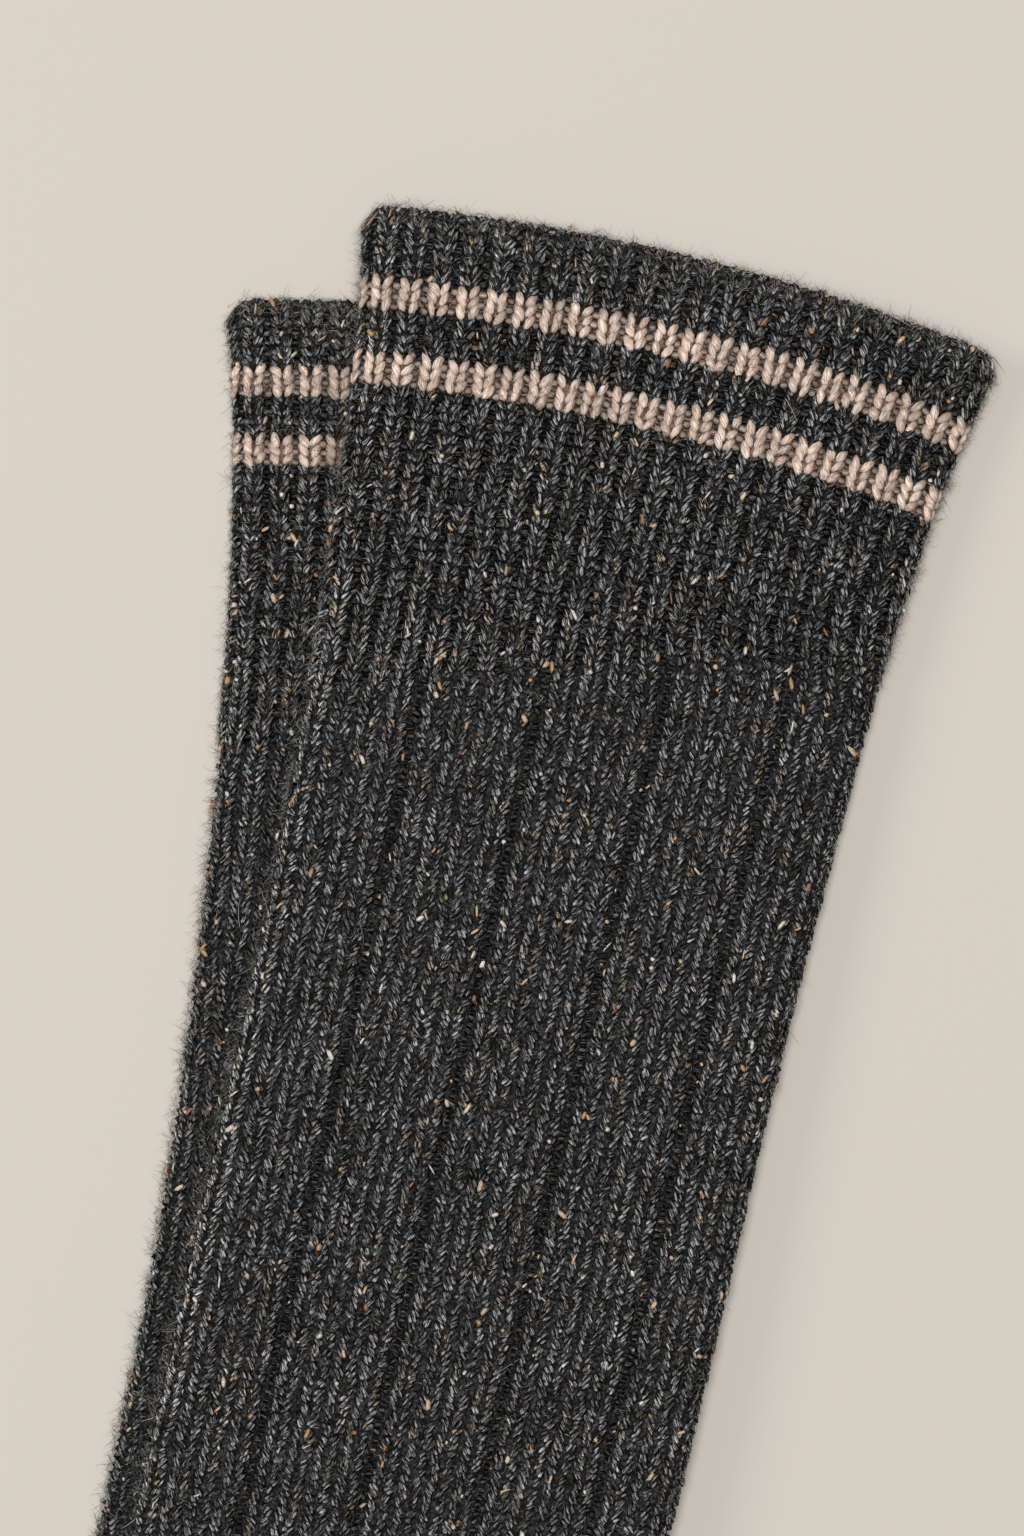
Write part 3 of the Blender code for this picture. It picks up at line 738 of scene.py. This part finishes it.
def seen_stitches(cloth, over, rng):
    """The stitches that show, with how far up each one faces, from 1 to -1, and their painted light: a
    painted highlight on the upper sock's left fold and a painted shadow on the lower sock where it comes out
    from under the upper one. over is where the sock lies that covers this one, or None."""
    stitches = stitch_places(cloth, rng)
    needle, share, along = (stitches[key] for key in ("needle", "share", "along"))
    held = np.clip(along, 0, LENGTH)
    section, out = ring_shape(held, share)
    facing = out[:, 1]
    seen = facing > SEEN_FACING
    if over is None:
        # painted highlight: the upper sock's left fold is made lighter, as if lit from the left, but not in
        # the stripes
        from_fold = section[:, 0] + of_section("back", held)
        painted_highlight = np.exp(-(((from_fold - PAINTED_HIGHLIGHT_MIDDLE) / PAINTED_HIGHLIGHT_REACH) ** 2)) * (facing > PAINTED_HIGHLIGHT_FACING)
        painted_light = 1 + PAINTED_HIGHLIGHT_GAIN * painted_highlight * ~stitches["striped"]
    else:
        plan = cloth.lay(needle, share, along, np.zeros_like(along))[:, :2] / MM
        off = over.outside(plan - Cloth.shift)
        seen &= off > -COVERED
        # painted shadow: the lower sock is darker where it comes out from under the upper one
        painted_light = 1 - SHADED_LOSS * np.exp(-((np.maximum(off, 0) / SHADED_REACH) ** 2))
    return chosen(stitches | {"facing": facing, "painted_light": painted_light}, seen)


def knit_arms(name, cloth, stitches, arms, detail, rng):
    """Both arms of each knit stitch, of strands that rise in the middle and dive at both ends."""
    roots, paths, widths, heights, tones = [], [], [], [], []
    steps, fullness, loose = np.array(detail.steps), np.array(detail.fullness), detail.loose
    needle, along, count = stitches["needle"], stitches["along"], len(stitches["along"])
    column = cloth.width(needle, along) * COLUMN
    scale = np.clip(column / USUAL_COLUMN, *COLUMN_SCALE)
    uneven = ARM_UNEVEN
    # each stitch's painted highlight and painted shadow scale its tone
    tone = stitches["painted_light"] * rng.normal(1, np.where(stitches["striped"], uneven.stripe_tone, uneven.tone))
    for arm in arms:
        lean = np.radians(arm.lean + rng.normal(0, uneven.lean, count))[:, None]
        length = (arm.length * rng.normal(1, uneven.length, count))[:, None]
        half = (arm.half_width * rng.normal(1, uneven.half_width, count) * scale)[:, None]
        aside = rng.normal(0, uneven.aside, count)
        middle = (arm.side * arm.middle * column + stitches["drift"] + aside)[:, None]
        slip, rise = rng.normal(0, uneven.along, (count, 1)), rng.normal(0, uneven.height, (count, 1))
        for ply in range(detail.plies):
            off = (ply - (detail.plies - 1) / 2) * 2 / detail.plies
            gathered = off * STRAND_SPREAD * (1 - STRAND_GATHER * steps**2)
            strays = loose * rng.normal(0, STRAND_WANDER, (count, 1))
            aside = half * (gathered + STRAND_TURN * steps + strays)
            cut = 1 - loose * rng.uniform(0, STRAND_CUT, (count, 1))
            kept_end = rng.choice([-STRAND_CUT_END, STRAND_CUT_END], (count, 1))
            way = length / 2 * (cut * steps + (1 - cut) * kept_end) + slip
            across = middle + arm.side * np.sin(lean) * way + np.cos(lean) * aside
            up = np.cos(lean) * way - arm.side * np.sin(lean) * aside
            out = ARM_RISE - ARM_SINK * np.abs(steps) ** ARM_BEND - ARM_TILT * steps
            out = out - STRAND_DROP * off**2 + rise
            out = out + loose * rng.normal(0, STRAND_WANDER, (count, 1))
            roots.append(np.stack([needle, stitches["share"], along]))
            paths.append(np.stack([across, up, out], -1))
            widths.append(half * (1 if detail.plies == 1 else STRAND_OVERLAP / detail.plies) * fullness)
            heights.append(ARM_HALF_THICK * (1 - STRAND_THIN * loose) * np.ones((count, 1)) * fullness)
            own = np.exp(rng.normal(0, detail.contrast, count))
            tones.append(np.clip(tone * arm.tone * detail.tone * own, *ARM_TONES))
    paths, widths, heights = (np.concatenate(parts) for parts in (paths, widths, heights))
    numbers = {"tone": np.concatenate(tones), "seed": rng.uniform(0, SEEDS, len(paths))}
    return spindles(name, cloth, np.concatenate(roots, 1), paths, widths, heights, detail.sides, numbers)


def purl_bumps(name, cloth, stitches, rng):
    """A purl stitch as a short round bump across its column."""
    along, leg, striped = stitches["along"], stitches["leg"] > 0.5, stitches["striped"]
    count, steps, uneven = len(along), np.array(BUMP_STEPS), BUMP_UNEVEN
    half, radius, height, tone = (np.where(leg, *sizes) for sizes in zip(LEG_BUMP, CUFF_BUMP))
    half = half * rng.normal(1, uneven.length, count)
    across = half[:, None] * steps + rng.normal(0, uneven.aside, count)[:, None]
    slip, slant = rng.normal(0, uneven.along, count)[:, None], rng.normal(0, uneven.slant, count)[:, None]
    up = -BUMP_DROP - BUMP_SINK * steps**2 + slip + slant * steps
    out = height[:, None] - BUMP_SINK * steps**2 + rng.normal(0, uneven.height, count)[:, None]
    radii = radius[:, None] * np.ones(len(steps) - 2)
    at_rim = RIM_BUMP_GAIN * np.exp(-along / RIM_BUMP_REACH)
    # each stitch's painted highlight and painted shadow scale its tone
    tone = np.where(striped, STRIPE_BUMP_TONE, tone + np.where(leg, 0, at_rim)) * stitches["painted_light"]
    tone = tone * np.exp(rng.normal(0, np.where(striped, uneven.stripe_tone, uneven.tone)))
    numbers = {"tone": np.clip(tone, *BUMP_TONES), "seed": rng.uniform(0, SEEDS, count)}
    roots, paths = np.stack([stitches["needle"], stitches["share"], along]), np.stack([across, up, out], -1)
    return spindles(name, cloth, roots, paths, radii, radii * BUMP_FLAT, BUMP_SIDES, numbers)


def picked(cloth, stitches, weights, count, rng):
    """Roots near stitches that are drawn by weight: needle, share and place along the sock."""
    drawn = rng.choice(len(weights), count, p=weights / weights.sum())
    beside, past = ROOT_REACH
    needle = stitches["needle"][drawn] + rng.uniform(-beside, beside, count)
    along = stitches["along"][drawn] + rng.uniform(-past, past, count)
    return np.stack([needle, cloth.share(needle, along), along])


def fibres(name, cloth, spec, roots, rng):
    """Loose curled fibres that rise from the surface, as thin tapered spindles."""
    count = roots.shape[1]
    steps = np.linspace(0, 1, spec.points)
    length = rng.uniform(*spec.length, count)[:, None]
    heading = rng.normal(0, spec.spread, count)[:, None] + np.pi * rng.integers(0, 2, count)[:, None]
    turn = heading + rng.normal(0, spec.curl, count)[:, None] * steps
    across = np.cumsum(np.sin(turn), 1) * length / len(steps)
    up = np.cumsum(np.cos(turn), 1) * length / len(steps)
    lift = rng.uniform(*spec.lift, count)[:, None]
    wander = rng.normal(0, FIBRE_WANDER, (count, len(steps)))
    out = spec.height + lift * length * steps**FIBRE_BEND + wander
    radii = rng.uniform(*spec.radius, count)[:, None] * np.linspace(1, FIBRE_TAPER, spec.points - 2)
    numbers = {"tone": rng.uniform(0, 1, count), "seed": rng.uniform(0, 1, count)}
    paths = np.stack([across, up, out], -1)
    return spindles(name, cloth, roots, paths, radii, radii, FIBRE_SIDES, numbers)


def skewed(sizes, count, rng):
    return (sizes.least + sizes.more * rng.uniform(0, 1, count) ** sizes.power)[:, None]


def flecks(name, cloth, roots, rng):
    """Neps: short plump tufts of light fibre caught in the yarn, a few of them long and some bent."""
    count, steps = roots.shape[1], np.array(FLECK_STEPS)
    half = skewed(FLECK_HALF_LENGTH, count, rng)
    side = rng.choice([-1, 1], count)
    heading = (side * rng.normal(FLECK_LEAN, FLECK_LEAN_SPREAD, count))[:, None]
    bend = rng.normal(0, FLECK_BEND, count)[:, None] * steps**2
    across, up = half * np.sin(heading) * steps + bend, half * np.cos(heading) * steps
    out = FLECK_RISE - FLECK_SINK * steps**2 + rng.normal(0, FLECK_RISE_SPREAD, count)[:, None]
    radii = skewed(FLECK_RADIUS, count, rng) * np.ones(len(steps) - 2)
    numbers = {"tone": rng.uniform(*FLECK_TONES, count), "seed": rng.uniform(0, 1, count)}
    paths = np.stack([across, up, out], -1)
    return spindles(name, cloth, roots, paths, radii, radii * FLECK_FLAT, FLECK_SIDES, numbers)


def node(tree, kind, inputs=None, **settings):
    """A new node. inputs gives each socket its number or colour, or another node's output."""
    made = tree.nodes.new(kind)
    for name, value in settings.items():
        setattr(made, name, value)
    for socket, value in (inputs or {}).items():
        if isinstance(value, bpy.types.NodeSocket):
            tree.links.new(value, made.inputs[socket])
        else:
            made.inputs[socket].default_value = value
    return made


def maths(tree, operation, *values):
    return node(tree, "ShaderNodeMath", dict(enumerate(values)), operation=operation).outputs[0]


def attribute(tree, name):
    return node(tree, "ShaderNodeAttribute", attribute_name=name).outputs["Fac"]


def noise(tree, place, scale, detail, roughness):
    inputs = {"Vector": place, "Scale": scale, "Detail": detail, "Roughness": roughness}
    return node(tree, "ShaderNodeTexNoise", inputs).outputs["Fac"]


def ramp(tree, fac, stops, steps="LINEAR"):
    made = node(tree, "ShaderNodeValToRGB", {"Fac": fac})
    made.color_ramp.interpolation = steps
    elements = made.color_ramp.elements
    while len(elements) < len(stops):
        elements.new(0.5)
    for element, (position, colour) in zip(elements, stops):
        element.position, element.color = position, (*colour, 1)
    return made.outputs["Color"]


def multiplied(tree, first, second):
    return node(tree, "ShaderNodeVectorMath", {0: first, 1: second}, operation="MULTIPLY").outputs[0]


def new_material(name, roughness, specular=0.25):
    material = bpy.data.materials.new(name)
    material.use_nodes = True
    shader = material.node_tree.nodes["Principled BSDF"]
    shader.inputs["Roughness"].default_value = roughness
    shader.inputs["Specular IOR Level"].default_value = specular
    return material, material.node_tree, shader


def in_range(tree, fac, low, high, to_low, to_high):
    """A number that goes from to_low to to_high while fac goes from low to high, and no further."""
    inputs = {0: fac, "From Min": low, "From Max": high, "To Min": to_low, "To Max": to_high}
    return node(tree, "ShaderNodeMapRange", inputs).outputs[0]


def paint(tree, shader, colour):
    tree.links.new(colour, shader.inputs["Base Color"])


def relief(tree, shader, height, depth):
    """A bump on the shader, as deep as depth in millimetres."""
    bump = node(tree, "ShaderNodeBump", {"Height": height, "Strength": 1.0, "Distance": depth * MM})
    tree.links.new(bump.outputs[0], shader.inputs["Normal"])


def object_place(tree):
    return node(tree, "ShaderNodeTexCoord").outputs["Object"]


def yarn(name, stops, hues, wool):
    """Spun wool: streaks of fibre along the yarn, of the colours in stops from its gaps to its lights, in one
    of the hues for each strand, with painted shade low down and on a strand's flanks and a painted highlight
    on its crest and top."""
    material, tree, shader = new_material(name, roughness=0.8, specular=0.08)
    place = node(tree, "ShaderNodeUVMap", uv_map="Yarn").outputs["UV"]
    across, along = node(tree, "ShaderNodeSeparateXYZ", {0: place}).outputs[:2]
    seed, tone = attribute(tree, "seed"), attribute(tree, "tone")
    turned = maths(tree, "MULTIPLY_ADD", along, wool.twist, across)
    u = maths(tree, "DIVIDE", turned, wool.streak_width)
    v = maths(tree, "DIVIDE", along, wool.streak_length)
    streaks = node(tree, "ShaderNodeCombineXYZ", {"X": u, "Y": v, "Z": seed}).outputs[0]
    strands = noise(tree, streaks, scale=1, detail=2.5, roughness=0.6)
    patches = noise(tree, object_place(tree), PATCHES, detail=1, roughness=0.5)
    # painted shade where the yarn dives low, painted highlight on its crest
    crest = in_range(tree, attribute(tree, "height"), LOW, CREST, LOW_TONE, CREST_TONE)
    # painted shade on a strand's flanks, painted highlight along its top
    full = 1 + CROWN_GAIN * (1 - wool.flank)
    crown = in_range(tree, attribute(tree, "crown"), 0, CROWN, wool.flank, full)
    tone = maths(tree, "MULTIPLY", maths(tree, "MULTIPLY", tone, crest), crown)
    patched = maths(tree, "MULTIPLY_ADD", patches, wool.patchy, 1 - wool.patchy / 2)
    shade = maths(tree, "MULTIPLY", tone, patched)
    shades = node(tree, "ShaderNodeCombineXYZ", {"X": shade, "Y": shade, "Z": shade}).outputs[0]
    hue = ramp(tree, maths(tree, "FRACT", seed), hues, "CONSTANT")
    colour = multiplied(tree, multiplied(tree, ramp(tree, strands, stops), hue), shades)
    paint(tree, shader, colour)
    relief(tree, shader, strands, wool.relief)
    return material


def under_yarn(name, stops):
    """The wall beneath the stitches, mottled at the scale of a stitch."""
    material, tree, shader = new_material(name, roughness=0.9, specular=0.03)
    mottle = noise(tree, object_place(tree), MOTTLE, detail=3, roughness=0.7)
    paint(tree, shader, ramp(tree, mottle, stops))
    relief(tree, shader, mottle, MOTTLE_RELIEF)
    return material


def loose_fibre():
    material, tree, shader = new_material("loose_fibre", roughness=0.6)
    hue = ramp(tree, attribute(tree, "seed"), FIBRE_HUES, "CONSTANT")
    colour = multiplied(tree, ramp(tree, attribute(tree, "tone"), FIBRE_STOPS), hue)
    paint(tree, shader, colour)
    return material


def fleck_wool():
    material, tree, shader = new_material("fleck_wool", roughness=0.6)
    shade = ramp(tree, noise(tree, object_place(tree), GRAIN, detail=2, roughness=0.6), FLECK_STOPS)
    colour = multiplied(tree, ramp(tree, attribute(tree, "seed"), FLECK_HUES, "CONSTANT"), shade)
    paint(tree, shader, colour)
    return material


def make_shell(name, cloth, plain, striped):
    """The knitted wall as one closed tube: outside, rolled over the rim, and the plain inside."""
    needle = np.arange(SHELL_ROUND) / SHELL_ROUND * NEEDLES
    outer = np.array([*(RIM_RADIUS * (1 - np.array(SHELL_RIM))), *SHELL_OUTSIDE])[::-1]
    places = np.concatenate([outer, SHELL_INSIDE[::-1]])
    outside = np.arange(len(places)) < len(outer)
    points = []
    for place, ribbed in zip(places, outside):
        along = np.full(SHELL_ROUND, place)
        height = -SHELL_SINK if ribbed else cloth.depth(needle, along) - WALL
        points.append(cloth.lay(needle, cloth.share(needle, along), along, height))
    n, count = SHELL_ROUND, len(places)
    i, j = every_pair(np.arange(count - 1), np.arange(n))
    k = (j + 1) % n
    quads = np.stack([i * n + j, (i + 1) * n + j, (i + 1) * n + k, i * n + k], 1)
    m = np.arange(n // 2)
    toe, inner_toe = (
        np.stack([start + m, start + (m + 1), start + (n - m - 1), start + (n - m) % n], 1)
        for start in (0, (count - 1) * n)
    )
    faces = np.concatenate([quads, toe, inner_toe[:, ::-1]])
    mesh = mesh_of(name, np.concatenate(points), faces.ravel(), 4 * np.arange(len(faces)))
    toes = np.zeros((len(faces) - len(quads), 4))
    u = np.concatenate([np.stack([j / n, j / n, (j + 1) / n, (j + 1) / n], 1), toes])
    v = np.concatenate([np.stack([i, i + 1, i + 1, i], 1) / count, toes])
    set_uv(mesh, "OFBake", np.stack([u, v], -1))
    middle, (start, end) = (places[i] + places[i + 1]) / 2, STRIPE_INSET
    in_stripe = sum((middle > stripe.start + start) & (middle < stripe.end - end) for stripe in STRIPES) > 0
    kind = np.concatenate([outside[i] & outside[i + 1] & in_stripe, np.zeros(len(toes), bool)])
    mesh.polygons.foreach_set("material_index", kind.astype(np.int32))
    return add_object(name, mesh, [plain, striped])


def stitch_pieces(sock, cloth, stitches, wools, rng):
    """A sock's stitches as joined meshes, each with its slot. Past the picture's edge the sunk purl
    columns are the shell's own."""
    along, leg = stitches["along"], stitches["leg"] > 0.5
    purl, striped, near = stitches["purl"], stitches["striped"], along < DETAIL_END
    in_cuff, in_leg = ~purl & ~leg, ~purl & leg
    groups = (
        ("cuff_stitches", in_cuff & ~striped & near, CUFF_ARMS, CLOSE, "charcoal_wool"),
        ("stripe_stitches", in_cuff & striped, STRIPE_ARMS, PLUMP, "stripe_wool"),
        ("calf_stitches", in_leg & near & (along < CALF_END), LEG_ARMS, CLOSE, "charcoal_wool"),
        ("leg_stitches", in_leg & near & (along >= CALF_END), LEG_ARMS, CLOSE, "charcoal_wool"),
        ("ankle_stitches", in_leg & ~near & (along < ANKLE_END), LEG_ARMS, FAR, "charcoal_wool"),
        ("foot_stitches", in_leg & ~near & (along >= ANKLE_END), LEG_ARMS, FAR, "charcoal_wool"),
        ("purl_stitches", purl & ~striped & near, None, None, "charcoal_wool"),
        ("stripe_purl_stitches", purl & striped, None, None, "stripe_wool"),
    )
    pieces = []
    for part, keep, arms, detail, slot in groups:
        name, own = f"{sock}_{part}", chosen(stitches, keep)
        mesh = knit_arms(name, cloth, own, arms, detail, rng) if arms else purl_bumps(name, cloth, own, rng)
        pieces.append((add_object(name, mesh, [wools[slot]]), slot))
    return pieces


def loose_pieces(sock, cloth, stitches, share, loose, fleck, rng):
    """A sock's loose fibres and flecks as joined meshes, each with its slot. share is the part of their
    whole numbers that this sock has."""
    shown = chosen(stitches, stitches["row"] >= ROOT_ROW)
    along, facing = shown["along"], shown["facing"]
    thin = 1 - (1 - FAR_FIBRES) * smooth_step(DETAIL_END, DETAIL_END + FAR_FADE, along)
    edge = ((facing < FOLD_FACING[1]) & (facing > FOLD_FACING[0])) | (shown["row"] < HALO_ROWS)
    pieces = []
    for part, spec, weights in (
        ("lying_fibres", LYING, thin * (1 + RIM_FUZZ * np.exp(-along / RIM_FUZZ_REACH))),
        ("halo_fibres", HALO, thin * (edge + HALO_ELSEWHERE)),
        ("stray_fibres", STRAYS, thin * (facing > STRAY_FACING)),
    ):
        name, roots = f"{sock}_{part}", picked(cloth, shown, weights, int(spec.count * share), rng)
        pieces.append((add_object(name, fibres(name, cloth, spec, roots, rng), [loose]), "charcoal_wool"))
    weights = np.where(along < DETAIL_END, 1.0, FAR_FLECKS) * ~shown["striped"]
    name, roots = f"{sock}_flecks", picked(cloth, shown, weights, int(FLECKS * share), rng)
    return pieces + [(add_object(name, flecks(name, cloth, roots, rng), [fleck]), "stripe_wool")]


def make_camera(shift):
    """The camera, straight over the picture's middle."""
    data = bpy.data.cameras.new("camera")
    data.sensor_width = SENSOR
    data.lens = SENSOR * CAMERA_HEIGHT / PICTURE_TALL
    data.clip_start, data.clip_end = CLIP
    camera = bpy.data.objects.new("camera", data)
    camera.location = (
        (PICTURE_MIDDLE[0] + shift[0]) * MM,
        (PICTURE_MIDDLE[1] + shift[1]) * MM,
        (CAMERA_HEIGHT + CLOTH_TOP) * MM,
    )
    bpy.context.scene.collection.objects.link(camera)
    bpy.context.scene.camera = camera
    return camera


def make_floor():
    reach = FLOOR_REACH
    corners = [(-reach, -reach, 0), (reach, -reach, 0), (reach, reach, 0), (-reach, reach, 0)]
    mesh = bpy.data.meshes.new("floor")
    mesh.from_pydata(corners, [], [(0, 1, 2, 3)])
    material, _, shader = new_material("floor", roughness=0.9, specular=0.05)
    shader.inputs["Base Color"].default_value = (*FLOOR_COLOUR, 1)
    floor = add_object("floor", mesh, [material])
    floor.location.z = -FLOOR_DROP


def make_lights(middle):
    """Soft lights round the picture's middle, and an even white fill."""
    world = bpy.data.worlds.new("studio")
    world.use_nodes = True
    world.node_tree.nodes["Background"].inputs["Color"].default_value = (1, 1, 1, 1)
    world.node_tree.nodes["Background"].inputs["Strength"].default_value = FILL
    bpy.context.scene.world = world
    for light in LIGHTS:
        data = bpy.data.lights.new(light.name, "AREA")
        data.shape, data.size = "DISK", light.diameter
        data.energy, data.color = light.watts, LIGHT_COLOUR
        lamp = bpy.data.objects.new(light.name, data)
        lamp.location = (middle[0] + light.place[0], middle[1] + light.place[1], light.place[2])
        bpy.context.scene.collection.objects.link(lamp)
        way = lamp.location.copy()
        way.x, way.y = light.place[:2]
        lamp.rotation_mode = "QUATERNION"
        lamp.rotation_quaternion = way.to_track_quat("Z", "Y")


def plan_box(cloths):
    """The box of both socks in plan, by the middles of their columns."""
    along, needle = every_pair(np.arange(0, LENGTH + 1, PLAN_STEP), np.arange(NEEDLES))
    flat = np.zeros_like(along)
    points = [cloth.lay(needle, cloth.share(needle, along), along, flat)[:, :2] / MM for cloth in cloths]
    points = np.concatenate(points)
    return points.min(0), points.max(0)


# The pair: each sock's seed, its part of the loose fibres and flecks, and what it rests on
Sock = namedtuple("Sock", "name seed share rests_on")
SOCKS = (Sock("lower", 11, 0.4, "floor"), Sock("upper", 12, 1.0, "lower_sock"))


def main():
    bpy.context.scene.view_settings.view_transform = "Standard"
    lower_lie, upper_lie = Lie(LOWER_START, LOWER_TURNS, LOWER_CUFF_SCALE), Lie(UPPER_START, UPPER_TURNS)
    lower = Cloth(lower_lie, True, level_surface, LOWER_CREASES)
    upper = Cloth(upper_lie, False, OnSock(upper_lie, lower_lie), UPPER_CREASES)
    low, high = plan_box((lower, upper))
    Cloth.shift = np.array([(a + b) / 2 / MM for a, b in zip(*cad_box)])[:2] - (low + high) / 2
    camera = make_camera(Cloth.shift)
    make_floor()
    make_lights(camera.location)

    wools = {
        "charcoal_wool": yarn("charcoal_wool", CHARCOAL_STOPS, CHARCOAL_HUES, CHARCOAL),
        "stripe_wool": yarn("stripe_wool", STRIPE_STOPS, STRIPE_HUES, STRIPE),
    }
    under = under_yarn("under_yarn", UNDER_STOPS)
    # a darker stripe colour on the wall: painted shade between the V's
    under_stripe = under_yarn("under_stripe", UNDER_STRIPE_STOPS)
    loose, fleck = loose_fibre(), fleck_wool()
    for sock, cloth, over in zip(SOCKS, (lower, upper), (upper_lie, None)):
        rng = np.random.default_rng(sock.seed)
        shell = make_shell(f"{sock.name}_shell", cloth, under, under_stripe)
        stitches = seen_stitches(cloth, over, rng)
        pieces = stitch_pieces(sock.name, cloth, stitches, wools, rng)
        pieces += loose_pieces(sock.name, cloth, stitches, sock.share, loose, fleck, rng)
        for piece, slot in pieces + [(shell, "charcoal_wool")]:
            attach(piece, "root")
        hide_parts(f"{sock.name}_sock")


main()
